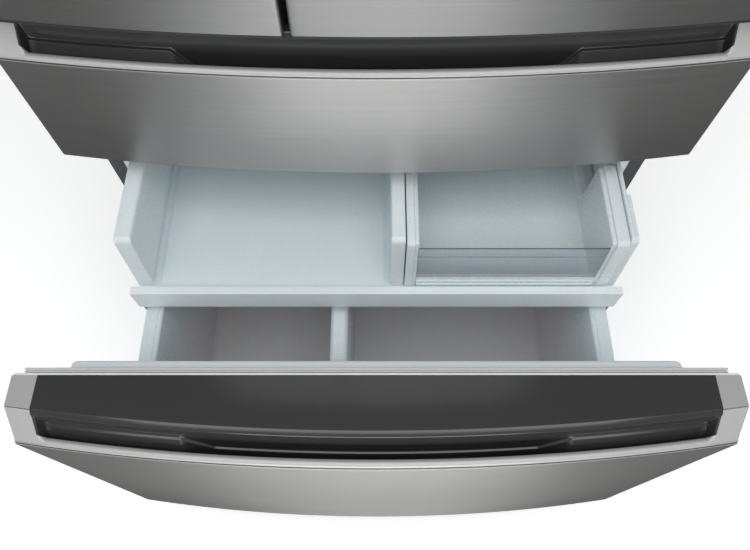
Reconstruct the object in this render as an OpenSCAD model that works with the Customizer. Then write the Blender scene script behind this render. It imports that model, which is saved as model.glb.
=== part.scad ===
// French door refrigerator with a shallow middle drawer and a deep freezer drawer.
// Millimetres, +Z up, the front looks along -Y. The origin is on the floor, under the middle of
// the whole object's box with the freezer drawer standing open.

/* [Cabinet] */
// Overall width of the cabinet and of every front
total_w = 908; // [840:2:940]
// Depth of the cabinet behind its front face
cabinet_d = 690; // [680:5:760]
// Height of the cabinet's top panel
cabinet_top = 1755; // [1740:5:1830]
// Visible width of the steel flange round the openings
flange_w = 23.5; // [20:0.5:28]
// Thickness of the sheet steel wrap
shell_t = 1.5; // [1:0.1:3]
// Thickness of the plastic liners
liner_t = 3; // [2.5:0.5:4]

/* [Fronts] */
// How far the middle of each front bows out past its side edges
bow = 33; // [20:1:40]
// Depth of the fronts at their side edges, without the gasket
front_d = 80; // [76:1:90]
// Thickness of the gaskets
gasket_t = 9; // [7:0.5:11]
// Thickness of the stainless skins
skin_t = 1.5; // [1:0.1:2]
// Depth of the sloped part of a drawer's top
slope_d = 37; // [33:1:42]
// Drop of the sloped part down to the seam over the skin
slope_h = 42; // [38:1:46]
// Width of the steel end caps on a drawer's top
end_w = 33; // [28:1:40]
// Half the length of the finger pocket
pocket_half = 226; // [160:2:260]
// Depth of the finger pocket below the seam
pocket_h = 44; // [30:1:50]

/* [Heights] */
// Bottom edge of the freezer drawer's front
freezer_z = 80; // [78:1:90]
// Height of the freezer drawer's skin
freezer_h = 479; // [470:1:482]
// Height of the middle drawer's skin
middle_h = 171; // [168:1:176]
// Gap between one front and the next
front_gap = 11; // [9:1:13]
// Bottom edge of the doors
door_z = 838; // [837:1:842]
// Top edge of the doors
door_top = 1752; // [1740:1:1754]

/* [Doors] */
// Centre of the gap between the doors, left of the middle
split_x = -97; // [-110:1:-80]
// Width of the gap between the doors
split_gap = 8; // [6:1:10]

/* [Drawers] */
// How far the freezer drawer stands open
drawer_open = 410; // [300:5:420]
// Half the inner width of the freezer basket
basket_half = 350; // [330:1:352]
// Rim height of the freezer basket
basket_top = 413; // [380:1:413]
// Height of the upper tray's side walls
tray_top = 578; // [560:1:578]
// Width of the divider in the freezer basket
divider_w = 29; // [20:1:40]

/* [Hidden] */

half_w = total_w / 2;
side_y = -(gasket_t + front_d);
nose_y = side_y - bow;
bow_r = (half_w * half_w + bow * bow) / (2 * bow);
bow_cy = nose_y + bow_r;
sweep = 20;
// Moves the cabinet's front plane so that the open object is centred on the origin
inlet_d = 12;
centre_y = (drawer_open - nose_y - cabinet_d - inlet_d) / 2;
back_y = -gasket_t;
back_t = 3.5;
in_half = 412;
open_half = half_w - flange_w;

freezer_seam = freezer_z + freezer_h;
freezer_cap = freezer_seam + slope_h;
middle_z = freezer_cap + front_gap;
middle_seam = middle_z + middle_h;
middle_cap = middle_seam + slope_h;

// Clear heights of the three compartments
freezer_room = [freezer_z + 20, freezer_cap - 17];
middle_room = [middle_z + 18, middle_cap - 19];
fresh_room = [door_z + 16, cabinet_top - 37];

plate_t = 2;
step_y = 440;
step_z = 250;
freezer_back_y = 652;
middle_back_y = 600;
fresh_back_y = 640;
cover_y = 590;
bulge_y = back_y + 28;
bulge_half = 395;

lip_d = 12;
lip_rise = 5;
hook_h = -16;
trim_t = 4;

pin_x = half_w - 18;
pin_y = -45;
pin_r = 5;
pin_gap = 0.05;

steel = [0.72, 0.73, 0.74];
skin_grey = [0.62, 0.62, 0.63];
dark = [0.17, 0.17, 0.18];
shell_grey = [0.24, 0.25, 0.26];
liner_white = [0.9, 0.94, 0.96];
clear_blue = [0.75, 0.85, 0.9, 0.45];
gasket_grey = [0.62, 0.66, 0.68];
zinc = [0.66, 0.67, 0.68];

// A block given by its lowest and highest corners
module block(lo, hi) translate(lo) cube(hi - lo);

// The same block on both sides of the middle plane
module both_sides() {
  children();
  mirror([1, 0, 0]) children();
}

// Everything is drawn behind the cabinet's front plane at Y = 0, then moved to its place
module placed(slide = 0) translate([0, centre_y - slide, 0]) children();

// A ring that follows the bowed front: points are [depth behind the front face, height]
module bowed_ring(points)
  translate([0, bow_cy, 0])
  rotate([0, 0, 270 - sweep / 2])
  rotate_extrude(angle = sweep, $fn = 1440)
  polygon([for (p = points) [bow_r - p[0], p[1]]]);

// A block with the bowed front, from x0 to x1 and z0 to z1, back to the plane y1
module bowed_block(x0, x1, y1, z0, z1, inset = 0) intersection() {
  bowed_ring([[inset, z0], [inset, z1], [200, z1], [200, z0]]);
  block([x0, nose_y - 5, z0], [x1, y1, z1]);
}

// Sheet steel front, open at the back and at the top
module bowed_skin(x0, x1, z0, z1) difference() {
  bowed_block(x0, x1, back_y - back_t, z0, z1);
  bowed_block(x0 + skin_t, x1 - skin_t, back_y, z0 + skin_t, z1 + 1, skin_t);
}

// A rectangular ring in the plane of the fronts
module flat_ring(lo, hi, w, y0, y1) difference() {
  block([lo[0], y0, lo[1]], [hi[0], y1, hi[1]]);
  block([lo[0] + w, y0 - 1, lo[1] + w], [hi[0] - w, y1 + 1, hi[1] - w]);
}

// An open box with walls of thickness t
module open_bin(lo, hi, t) difference() {
  block(lo, hi);
  block([lo[0] + t, lo[1] + t, lo[2] + t], [hi[0] - t, hi[1] - t, hi[2] + 1]);
}

// Liner of one compartment, with its side flanges behind the front frame
module room_liner(z, y1) {
  difference() {
    block([-in_half - liner_t, plate_t, z[0] - liner_t], [in_half + liner_t, y1 + liner_t, z[1] + liner_t]);
    block([-in_half, plate_t - 1, z[0]], [in_half, y1, z[1]]);
  }
  both_sides() block([in_half + liner_t, plate_t, z[0]], [open_half + 2, plate_t + liner_t, z[1]]);
}

// ---- cabinet ----

module cabinet_shell() color(shell_grey) placed() difference() {
  block([-half_w, plate_t, 30], [half_w, cabinet_d - shell_t, cabinet_top]);
  block([-half_w + shell_t, 0, 0], [half_w - shell_t, cabinet_d, cabinet_top - shell_t]);
}

module back_panel() color(shell_grey) placed() {
  block([-half_w, cabinet_d - shell_t, step_z], [half_w, cabinet_d, cabinet_top]);
  for (x = [-300, -100, 100, 300])
    block([x - 12, cabinet_d - shell_t - 3, step_z + 60], [x + 12, cabinet_d - shell_t, cabinet_top - 80]);
}

module front_frame() color(shell_grey) placed() difference() {
  block([-half_w, 0, freezer_z - 4], [half_w, plate_t, cabinet_top]);
  for (z = [freezer_room, middle_room, fresh_room])
    block([-open_half, -1, z[0]], [open_half, plate_t + 1, z[1]]);
}

shelf_z = [1180, 1430];

module fresh_liner() color(liner_white) placed() {
  room_liner(fresh_room, fresh_back_y);
  for (z = shelf_z)
    both_sides() block([in_half - 10, 130, z - 6], [in_half, 610, z]);
  both_sides() block([in_half - 10, 195, crisper_top], [in_half, 610, crisper_top + 6]);
}

module middle_liner() color(liner_white) placed() room_liner(middle_room, middle_back_y);

module freezer_liner() color(liner_white) placed() difference() {
  union() {
    room_liner(freezer_room, freezer_back_y);
    block([-in_half - liner_t, step_y - liner_t, freezer_room[0]], [in_half + liner_t, freezer_back_y, step_z]);
  }
  block([-in_half - 9, step_y, freezer_room[0] - 9], [in_half + 9, freezer_back_y + 9, step_z - liner_t]);
}

pan_z = 30;

module base_pan() color(zinc) placed() {
  difference() {
    block([-half_w + shell_t, 14, pan_z], [half_w - shell_t, cabinet_d - shell_t, 62]);
    block([-half_w + 2 * shell_t, 16, pan_z + 2], [half_w - 2 * shell_t, cabinet_d - 4, 63]);
    both_sides() block([roller_x - 12.5, roller_y - 24, pan_z - 1], [roller_x + 12.5, roller_y + 24, 63]);
  }
  for (side = [-1, 1])
    translate([side * roller_x, roller_y, roller_z])
    roller_bracket();
}

roller_x = 400;
roller_y = 640;
roller_z = 23.5;
roller_r = 22;
roller_w = 22;

// Two ears under the base pan and the pin that the roller turns on
module roller_bracket() {
  for (side = [-1, 1])
    block([side * 14 - 1.5, -14, -7], [side * 14 + 1.5, 14, pan_z + 2 - roller_z]);
  rotate([0, 90, 0]) cylinder(r = 4, h = 31, center = true, $fn = 48);
}

module roller(side) color(dark) placed()
  translate([side * roller_x, roller_y, roller_z])
  rotate([0, 90, 0])
  difference() {
    cylinder(r = roller_r, h = roller_w, center = true, $fn = 96);
    cylinder(r = 4 + pin_gap, h = roller_w + 2, center = true, $fn = 48);
  }

module toe_grille() color(dark) placed() difference() {
  block([-440, 2, 13], [440, 14, 75]);
  for (z = [24, 34, 44, 54], x = [-420 : 85 : 345])
    block([x, 1, z], [x + 75, 15, z + 5]);
}

module machine_cover() color(shell_grey) placed() difference() {
  block([-half_w + 6, cabinet_d - shell_t, 34], [half_w - 6, cabinet_d, step_z]);
  for (x = [-400 : 20 : -120])
    block([x, cabinet_d - 4, 90], [x + 8, cabinet_d + 1, 200]);
  for (x = [120 : 20 : 400])
    block([x, cabinet_d - 4, 90], [x + 8, cabinet_d + 1, 200]);
}

module leveling_feet() color(dark) placed()
  for (x = [-425, 425], y = [50, 600])
    translate([x * (y > 100 ? 0.82 : 1), y, 0]) {
      cylinder(r = 20, h = 10, $fn = 64);
      translate([0, 0, 10]) cylinder(r = 6, h = 20, $fn = 32);
    }

module power_inlet() color(dark) placed() difference() {
  union() {
    block([300, cabinet_d, 52], [340, cabinet_d + 4, 82]);
    translate([320, cabinet_d + inlet_d, 67]) rotate([90, 0, 0]) cylinder(r = 9, h = 8, $fn = 48);
  }
  translate([320, cabinet_d + inlet_d + 1, 67]) rotate([90, 0, 0]) cylinder(r = 4.5, h = 14, $fn = 48);
}

module compressor() color([0.1, 0.1, 0.11]) placed() translate([-230, 560, 0]) {
  for (x = [-70, 70], y = [-55, 55])
    translate([x, y, 32]) cylinder(r = 13, h = 16, $fn = 32);
  block([-90, -72, 48], [90, 72, 52]);
  translate([0, 0, 52]) cylinder(r = 72, h = 130, $fn = 96);
  translate([0, 0, 182]) cylinder(r1 = 72, r2 = 40, h = 22, $fn = 96);
}

// Tubes and fins of a heat exchanger inside the box lo..hi
module finned_coil(lo, hi, fins, rows) {
  gap = (hi[0] - lo[0] - 12) / (fins - 1);
  for (i = [0 : fins - 1])
    block([lo[0] + 5 + i * gap, lo[1], lo[2]], [lo[0] + 6.5 + i * gap, hi[1], hi[2]]);
  for (i = [0 : rows - 1])
    translate([lo[0], (lo[1] + hi[1]) / 2, lo[2] + (hi[2] - lo[2]) * (i + 0.5) / rows])
    rotate([0, 90, 0])
    cylinder(r = 5, h = hi[0] - lo[0], $fn = 32);
}

module condenser_coil() color(dark) placed()
  finned_coil([20, 480, pan_z + 2], [330, 640, 210], 16, 4);

module evaporator() color([0.8, 0.81, 0.82]) placed()
  finned_coil([-300, 612, 262], [300, 646, 440], 24, 5);

fan_x = 0;
fan_z = 510;
fan_r = 46;

module evaporator_cover() color(liner_white) placed() difference() {
  block([-in_half + 1, cover_y, step_z], [in_half - 1, cover_y + 4, freezer_room[1] - 2]);
  translate([fan_x, cover_y + 5, fan_z]) rotate([90, 0, 0]) cylinder(r = fan_r, h = 6, $fn = 96);
}

module fan_motor() color([0.3, 0.3, 0.32]) placed() {
  for (a = [45, 135])
    translate([fan_x, cover_y + 34, fan_z])
    rotate([0, a, 0])
    block([-4, -2, -64], [4, 2, 64]);
  translate([fan_x, cover_y + 52, fan_z]) rotate([90, 0, 0]) cylinder(r = 16, h = 20, $fn = 64);
  translate([fan_x, cover_y + 32, fan_z]) rotate([90, 0, 0]) cylinder(r = 3, h = 10, $fn = 32);
}

module fan_blade() color([0.85, 0.86, 0.88]) placed()
  translate([fan_x, cover_y + 31, fan_z])
  difference() {
    union() {
      rotate([90, 0, 0]) cylinder(r = 14, h = 18, $fn = 64);
      for (a = [0 : 72 : 288])
        rotate([0, a, 0]) translate([0, -9, 0]) rotate([0, 0, 28]) block([-9, -1, 10], [9, 1, 40]);
    }
    translate([0, 1, 0]) rotate([90, 0, 0]) cylinder(r = 3 + pin_gap, h = 12, $fn = 32);
  }

module air_duct() color(liner_white) placed() difference() {
  block([-80, fresh_back_y - 20, 1090], [80, fresh_back_y, fresh_room[1] - 30]);
  for (z = [1150 : 90 : 1600])
    both_sides() block([30, fresh_back_y - 21, z], [66, fresh_back_y - 12, z + 14]);
}

// Arms that hold the inner ends of the glass shelves
module shelf_arms() color(zinc) placed()
  for (z = shelf_z)
    both_sides() block([5, 240, z - 20], [9, fresh_back_y - 20, z]);

module control_panel() color([0.14, 0.14, 0.15]) placed()
  block([-170, 40, fresh_room[1] - 16], [170, 130, fresh_room[1]]);

// Upper hinge plates on the cabinet's top, lower arms between the drawer and the doors
module hinge_brackets() color(zinc) placed() both_sides() {
  block([pin_x - 40, pin_y - 14, cabinet_top], [pin_x + 14, 60, cabinet_top + 4]);
  translate([pin_x, pin_y, cabinet_top - 20]) cylinder(r = pin_r, h = 20, $fn = 64);
  block([pin_x - 22, -4, door_z - 11], [pin_x + 14, 0, door_z - 1]);
  block([pin_x - 22, pin_y - 14, door_z - 7], [pin_x + 14, -4, door_z - 3]);
  translate([pin_x, pin_y, door_z - 3]) cylinder(r = pin_r, h = 19, $fn = 64);
}

module hinge_covers() color(dark) placed() both_sides() difference() {
  block([pin_x - 46, pin_y - 20, cabinet_top], [half_w, 66, cabinet_top + 25]);
  block([pin_x - 42, pin_y - 16, cabinet_top - 1], [pin_x + 15, 62, cabinet_top + 21]);
}

// ---- slides ----

rail_z = [325, 350];
middle_rail_z = [690, 712];

module fixed_slides() color(zinc) placed() both_sides() {
  block([393, bulge_y + 3, rail_z[0]], [in_half, 560, rail_z[1]]);
  block([393, bulge_y + 3, middle_rail_z[0]], [in_half, 560, middle_rail_z[1]]);
}

module freezer_slides() color(zinc) placed(drawer_open) both_sides() {
  block([376, bulge_y, 320], [379, bulge_y + 400, basket_top - 8]);
  block([360, bulge_y, basket_top - 8], [379, bulge_y + 400, basket_top - 4.2]);
  block([379, bulge_y, rail_z[0]], [392.6, bulge_y + 510, rail_z[1]]);
  block([379, bulge_y + 155, basket_top - 30], [385, bulge_y + 400, basket_top - 8]);
  block([380.6, bulge_y + 155, basket_top - 8], [385, bulge_y + 400, tray_bar_z[0]]);
}

module middle_slides() color(zinc) placed() both_sides() {
  block([376, bulge_y, middle_rail_z[0] - 4], [379, bulge_y + 480, middle_rim - 4]);
  block([379, bulge_y, middle_rail_z[0]], [392.6, bulge_y + 500, middle_rail_z[1]]);
}

// ---- drawer fronts ----

// Bright rail along the front edge of the drawer's top, hooked behind the skin
module lip(seam) {
  inner = half_w - end_w;
  intersection() {
    bowed_ring([
      [0, seam + 0.5], [0, seam + 2], [3, seam + lip_rise], [lip_d, seam + lip_rise],
      [lip_d, seam + hook_h], [skin_t + 0.5, seam + hook_h], [skin_t + 0.5, seam + 0.5]
    ]);
    block([-inner, nose_y - 5, seam - 20], [inner, 0, seam + 20]);
  }
}

// Cross-sections of the dark top, [depth behind the front, height above the seam]
trough_h = -7;
rear_d = 33;
top_under = slope_h - trim_t;

function top_profile(floor_h) = [
  [200, slope_h], [slope_d, slope_h], [rear_d, floor_h], [lip_d, floor_h],
  [lip_d, floor_h - trim_t], [rear_d + trim_t, floor_h - trim_t],
  [slope_d + trim_t, top_under], [200, top_under]
];
pocket_front = [
  [lip_d, -pocket_h], [lip_d, hook_h], [lip_d + 2, hook_h], [lip_d + 2, -pocket_h]
];
pocket_end = [
  [lip_d, -pocket_h - trim_t], [lip_d, trough_h], [rear_d + trim_t, trough_h],
  [rear_d + trim_t, -pocket_h - trim_t]
];

function raised(points, seam) = [for (p = points) [p[0], p[1] + seam]];

module drawer_top(seam) {
  inner = half_w - end_w;
  y1 = back_y - back_t;
  z0 = seam - pocket_h - 10;
  z1 = seam + slope_h + 1;
  both_sides() intersection() {
    bowed_ring(raised(top_profile(trough_h), seam));
    block([pocket_half, nose_y - 5, z0], [inner, y1, z1]);
  }
  intersection() {
    union() {
      bowed_ring(raised(top_profile(-pocket_h), seam));
      bowed_ring(raised(pocket_front, seam));
    }
    block([-pocket_half, nose_y - 5, z0], [pocket_half, y1, z1]);
  }
  both_sides() intersection() {
    bowed_ring(raised(pocket_end, seam));
    block([pocket_half - trim_t, nose_y - 5, z0], [pocket_half, y1, z1]);
  }
}

module drawer_ends(seam) both_sides() difference() {
  intersection() {
    bowed_ring(raised([
      [200, slope_h], [slope_d, slope_h], [3, lip_rise], [0, 2], [0, 0.5],
      [skin_t + 0.5, 0.5], [skin_t + 0.5, hook_h], [200, hook_h]
    ], seam));
    block([half_w - end_w, nose_y - 5, seam - 20], [half_w, back_y - back_t, seam + slope_h]);
    union() {
      block([half_w - end_w, nose_y - 5, seam + 0.5], [half_w, back_y, seam + slope_h]);
      block([half_w - end_w, nose_y - 5, seam - 20], [half_w - skin_t - 0.5, back_y, seam + 0.5]);
    }
  }
  intersection() {
    bowed_ring(raised([
      [200, slope_h - 3], [slope_d + 2, slope_h - 3], [6, lip_rise - 3], [6, -20], [200, -20]
    ], seam));
    block([half_w - end_w + 3, nose_y, seam - 21], [half_w - 4, back_y - back_t - 3, seam + slope_h]);
  }
}

// Plastic back of a drawer's front, with the raised middle that enters the compartment
module drawer_back(z0, z1, room) {
  block([-half_w + 1, back_y - back_t, z0], [half_w - 1, back_y, z1]);
  difference() {
    block([-bulge_half, back_y, room[0] + 10], [bulge_half, bulge_y, room[1] - 10]);
    block([-bulge_half + 3, back_y - 1, room[0] + 13], [bulge_half - 3, bulge_y - 3, room[1] - 13]);
  }
}

module drawer_gasket(room)
  flat_ring([-open_half - 12, room[0] - 12], [open_half + 12, room[1] + 12], 18, back_y, -0.2);

module middle_skin() color(skin_grey) placed() bowed_skin(-half_w, half_w, middle_z, middle_seam);
module middle_lip() color(steel) placed() lip(middle_seam);
module middle_top() color(dark) placed() drawer_top(middle_seam);
module middle_ends() color(steel) placed() drawer_ends(middle_seam);
module middle_back() color(liner_white) placed() drawer_back(middle_z + 1, middle_cap - 1, middle_room);
module middle_gasket() color(gasket_grey) placed() drawer_gasket(middle_room);

module freezer_skin() color(skin_grey) placed(drawer_open)
  bowed_skin(-half_w, half_w, freezer_z, freezer_seam);
module freezer_lip() color(steel) placed(drawer_open) lip(freezer_seam);
module freezer_top() color(dark) placed(drawer_open) drawer_top(freezer_seam);
module freezer_ends() color(steel) placed(drawer_open) drawer_ends(freezer_seam);
module freezer_back() color(liner_white) placed(drawer_open)
  drawer_back(freezer_z + 1, freezer_cap - 1, freezer_room);
module freezer_gasket() color(gasket_grey) placed(drawer_open) drawer_gasket(freezer_room);

// ---- bins and trays ----

middle_rim = 786;

// A bin that hangs by its side rims on a pair of slides
module rimmed_bin(y0, y1, z0, z1, rim) {
  open_bin([-basket_half - 3, y0, z0], [basket_half + 3, y1, z1], 3);
  both_sides() block([basket_half + 3, y0, z1 - 4], [rim, y1, z1]);
}

module middle_bin() color(liner_white) placed()
  rimmed_bin(bulge_y, bulge_y + 490, middle_room[0] + 12, middle_rim, 380);

module freezer_basket() color(liner_white) placed(drawer_open)
  rimmed_bin(bulge_y, bulge_y + 402, freezer_room[0] + 18, basket_top, 380);

divider_x = -62;
basket_floor = freezer_room[0] + 21;

module basket_divider() color(liner_white) placed(drawer_open) difference() {
  block([divider_x - divider_w / 2, bulge_y + 3.2, basket_floor],
    [divider_x + divider_w / 2, bulge_y + 398.8, basket_top - 18]);
  block([divider_x - divider_w / 2 + 3, bulge_y - 1, basket_floor - 1],
    [divider_x + divider_w / 2 - 3, bulge_y + 403, basket_top - 21]);
}

tray_bar_z = [427, 473];
tray_front = bulge_y + 152;
tray_back = tray_front + 360;
tray_floor = 463;
tray_half = 375;
tray_wall = 25;
right_wall = 12;
centre_wall = [22, 42];

// Side view of a tray wall, leaning back from its foot; inset keeps it hollow
module tray_wall_outline(x0, x1, inset)
  translate([x0, 0, 0])
  rotate([90, 0, 90])
  linear_extrude(x1 - x0)
  polygon([
    [tray_front + 13 + inset, tray_floor + (inset > 0 ? -1 : 0)],
    [tray_front + 33 + inset, tray_top - inset],
    [tray_back - inset, tray_top - inset],
    [tray_back - inset, tray_floor + (inset > 0 ? -1 : 0)]
  ]);

module tray_side(x0, x1) difference() {
  tray_wall_outline(x0, x1, 0);
  tray_wall_outline(x0 + 2.5, x1 - 2.5, 2.5);
}

module upper_tray() color(liner_white) placed(drawer_open) {
  block([-385, tray_front, tray_bar_z[0]], [385, tray_front + 8.5, tray_bar_z[1]]);
  block([-tray_half, tray_front + 8.5, tray_floor], [tray_half, tray_back, tray_floor + 3]);
  both_sides() block([tray_half - 3, tray_front + 8.5, tray_bar_z[0]], [385, tray_back, tray_bar_z[0] + 3]);
  both_sides() block([tray_half - 3, tray_front + 8.5, tray_bar_z[0]], [tray_half, tray_back, tray_floor]);
  tray_side(-tray_half, -tray_half + tray_wall);
  tray_side(centre_wall[0], centre_wall[1]);
  tray_side(tray_half - right_wall, tray_half);
  block([-tray_half, tray_back - 3, tray_floor], [centre_wall[0], tray_back, tray_top - 20]);
  block([centre_wall[1], tray_back - 3, tray_floor], [tray_half, tray_back, ice_low]);
}

ice_low = 494;
ice_x = [44, 362];
ice_front = tray_front + 10;
ice_high_d = 132;
ice_back = tray_back - 4;

// The ice bin is tall in front and low at the back, where the ice maker reaches over it
module ice_bin() color(clear_blue) placed(drawer_open) difference() {
  translate([ice_x[0], 0, 0])
    rotate([90, 0, 90])
    linear_extrude(ice_x[1] - ice_x[0])
    polygon([
      [ice_front, tray_floor + 3.2], [ice_front + 13, tray_top - 2],
      [ice_front + ice_high_d, tray_top - 2], [ice_front + ice_high_d, ice_low],
      [ice_back, ice_low], [ice_back, tray_floor + 3.2]
    ]);
  translate([ice_x[0] + 3, 0, 0])
    rotate([90, 0, 90])
    linear_extrude(ice_x[1] - ice_x[0] - 6)
    polygon([
      [ice_front + 3.5, tray_floor + 6.2], [ice_front + 17, tray_top + 9],
      [ice_front + ice_high_d + 9, tray_top + 9], [ice_back - 3, tray_top + 9],
      [ice_back - 3, tray_floor + 6.2]
    ]);
}

module ice_maker() color([0.78, 0.8, 0.82]) placed()
  block([62, 342, ice_low + 8], [340, cover_y, freezer_room[1]]);

// ---- fresh food compartment ----

crisper_top = 1066;

module glass_shelves() color([0.8, 0.92, 0.9, 0.5]) placed()
  for (z = shelf_z)
    both_sides() block([4, 120, z], [in_half - 1, 612, z + 5]);

module crisper_cover() color([0.8, 0.92, 0.9, 0.5]) placed()
  block([-in_half + 1, 195, crisper_top + 6], [in_half - 1, 612, crisper_top + 11]);

module crisper() open_bin([6, 190, fresh_room[0] + 0.3], [404, 600, crisper_top - 6], 3);
module crisper_left() color(clear_blue) placed() mirror([1, 0, 0]) crisper();
module crisper_right() color(clear_blue) placed() crisper();

// ---- doors ----

cap_h = 24;
left_x = [-half_w, split_x - split_gap / 2];
right_x = [split_x + split_gap / 2, half_w];
dyke_z = [fresh_room[0] + 14, fresh_room[1] - 14];
bin_z = [1100, 1315, 1525];

module door_skin(x) difference() {
  bowed_block(x[0], x[1], back_y - back_t, door_z + 3, door_top - 3);
  bowed_block(x[0] + skin_t, x[1] - skin_t, back_y, door_z, door_top, skin_t);
}

// End caps close the skin at both ends, and hold the hinge bores and the finger recess
module door_caps(x, pivot, grip) difference() {
  union() {
    bowed_block(x[0] + skin_t, x[1] - skin_t, back_y - back_t, door_z + 3, door_z + cap_h, skin_t);
    bowed_block(x[0], x[1], back_y - back_t, door_z, door_z + 3);
    bowed_block(x[0] + skin_t, x[1] - skin_t, back_y - back_t, door_top - cap_h, door_top - 3, skin_t);
    bowed_block(x[0], x[1], back_y - back_t, door_top - 3, door_top);
  }
  translate([pivot, pin_y, door_z - 1]) cylinder(r = pin_r + pin_gap, h = 18, $fn = 64);
  translate([pivot, pin_y, door_top - 19]) cylinder(r = pin_r + pin_gap, h = 20, $fn = 64);
  block([grip[0], -85, door_z - 1], [grip[1], -50, door_z + cap_h - 4]);
}

module door_liner(x, dyke) {
  block([x[0] + 1, back_y - back_t, door_z + 1], [x[1] - 1, back_y, door_top - 1]);
  flat_ring([dyke[0], dyke_z[0]], [dyke[1], dyke_z[1]], 18, back_y, 30);
}

module door_gasket(x)
  flat_ring([x[0], fresh_room[0] - 12], [x[1], fresh_room[1] + 12], 16, back_y, -0.2);

module door_bins(dyke)
  for (z = bin_z)
    open_bin([dyke[0] + 18.5, back_y + 0.5, z], [dyke[1] - 18.5, 92, z + 95], 3);

// Axis of the folding strip, and the heights of its ends
fold = [left_x[1] - 45, 2.5];
fold_r = 2;
fold_z = [fresh_room[0] + 22, fresh_room[1] - 34];

module fold_ears() difference() {
  for (z = [fold_z[0] - 10, fold_z[1] + 0.5])
    block([fold[0] - 5, back_y, z], [fold[0] + 5, fold[1] + 5, z + 9.5]);
  translate([fold[0], fold[1], fold_z[0] - 11])
    cylinder(r = fold_r + pin_gap, h = fold_z[1] - fold_z[0] + 22, $fn = 48);
}

left_dyke = [-400, left_x[1] - 68];
right_dyke = [right_x[0] + 24, 400];
grip_w = 150;

module left_door_skin() color(skin_grey) placed() door_skin(left_x);
module left_door_liner() color(liner_white) placed() {
  door_liner(left_x, left_dyke);
  fold_ears();
}
module left_door_gasket() color(gasket_grey) placed() door_gasket([-pin_x + 2, left_x[1] - 2]);
module left_door_caps() color(dark) placed()
  door_caps(left_x, -pin_x, [left_x[1] - 30 - grip_w, left_x[1] - 30]);
module left_door_bins() color(clear_blue) placed() door_bins(left_dyke);

module right_door_skin() color(skin_grey) placed() door_skin(right_x);
module right_door_liner() color(liner_white) placed() door_liner(right_x, right_dyke);
module right_door_gasket() color(gasket_grey) placed() door_gasket([right_x[0] + 2, pin_x - 2]);
module right_door_caps() color(dark) placed()
  door_caps(right_x, pin_x, [right_x[0] + 30, right_x[0] + 30 + grip_w]);
module right_door_bins() color(clear_blue) placed() door_bins(right_dyke);

// Folding strip that backs the gap between the doors, on pins in two ears of the left door
module flip_mullion() color(gasket_grey) placed() {
  block([fold[0] - 1, 0.3, fold_z[0]], [left_x[1] + 1, 20, fold_z[1]]);
  for (z = [fold_z[0] - 8, fold_z[1]])
    translate([fold[0], fold[1], z]) cylinder(r = fold_r, h = 8, $fn = 48);
}

cabinet_shell();
back_panel();
front_frame();
fresh_liner();
middle_liner();
freezer_liner();
base_pan();
toe_grille();
machine_cover();
leveling_feet();
power_inlet();
compressor();
condenser_coil();
evaporator();
evaporator_cover();
fan_motor();
fan_blade();
air_duct();
shelf_arms();
control_panel();
hinge_brackets();
hinge_covers();
fixed_slides();
glass_shelves();
crisper_cover();
crisper_left();
crisper_right();
ice_maker();
roller(-1);  // roller_left
roller(1);  // roller_right
left_door_skin();
left_door_liner();
left_door_gasket();
left_door_caps();
left_door_bins();
right_door_skin();
right_door_liner();
right_door_gasket();
right_door_caps();
right_door_bins();
flip_mullion();
middle_skin();
middle_lip();
middle_top();
middle_ends();
middle_back();
middle_gasket();
middle_bin();
middle_slides();
freezer_skin();
freezer_lip();
freezer_top();
freezer_ends();
freezer_back();
freezer_gasket();
freezer_basket();
basket_divider();
freezer_slides();
upper_tray();
ice_bin();
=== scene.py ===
"""Looks of the french door refrigerator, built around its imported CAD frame. Metres, +Z up."""

import math

import bmesh
import bpy
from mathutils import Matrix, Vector


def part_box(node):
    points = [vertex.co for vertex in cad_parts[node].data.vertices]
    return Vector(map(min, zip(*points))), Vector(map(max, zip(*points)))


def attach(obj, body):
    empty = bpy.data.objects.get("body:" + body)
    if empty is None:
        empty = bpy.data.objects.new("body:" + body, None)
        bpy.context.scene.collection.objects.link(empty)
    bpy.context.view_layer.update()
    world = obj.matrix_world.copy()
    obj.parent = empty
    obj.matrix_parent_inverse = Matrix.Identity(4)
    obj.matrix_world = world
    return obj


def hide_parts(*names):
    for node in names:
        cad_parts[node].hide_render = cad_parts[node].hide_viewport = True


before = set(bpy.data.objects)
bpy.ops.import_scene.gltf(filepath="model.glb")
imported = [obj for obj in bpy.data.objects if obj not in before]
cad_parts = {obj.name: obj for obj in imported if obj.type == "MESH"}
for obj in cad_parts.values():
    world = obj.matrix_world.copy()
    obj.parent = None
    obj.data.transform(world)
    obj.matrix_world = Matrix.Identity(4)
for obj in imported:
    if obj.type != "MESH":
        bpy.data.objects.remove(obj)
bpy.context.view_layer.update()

# ---- driving sizes -----------------------------------------------------------------------
# Depths are measured back from the bowed front, heights up from the seam at the skin's top.

MM = 0.001
HALF_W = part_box("middle_skin")[1].x
BOW = 33 * MM
BOW_R = (HALF_W ** 2 + BOW ** 2) / (2 * BOW)
SHEET = 1.5 * MM
CORNER_R = 3 * MM
CAP_RISE = 42 * MM          # height of a drawer's flat top and end caps
SLOPE_D = 37 * MM           # depth where the caps' front slope ends
END_W = 33 * MM             # width of an end cap
LIP_D = 12 * MM
LIP_RISE = 5 * MM
POCKET_HALF = 226 * MM      # half the width of the deep finger pocket
POCKET_H = 44 * MM          # its depth below the seam
POCKET_D = 25.5 * MM        # depth back to which its floor is matt and darker; the darker colour is painted shade of the recess behind the lip
RAMP_HALF = 17 * MM         # half the length of the ramps at its ends
TROUGH_H = 7 * MM           # how much of that depth the shallow sides keep
LEDGE_RISE = 12 * MM
BACK_HALF = 402 * MM        # half width of the raised middle of a drawer's back
ROOM_HALF = 412 * MM        # half width of the compartments
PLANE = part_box("front_frame")[0].y
DOOR_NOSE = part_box("right_door_skin")[0].y


# ---- materials ---------------------------------------------------------------------------

FINISHES = {}


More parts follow.
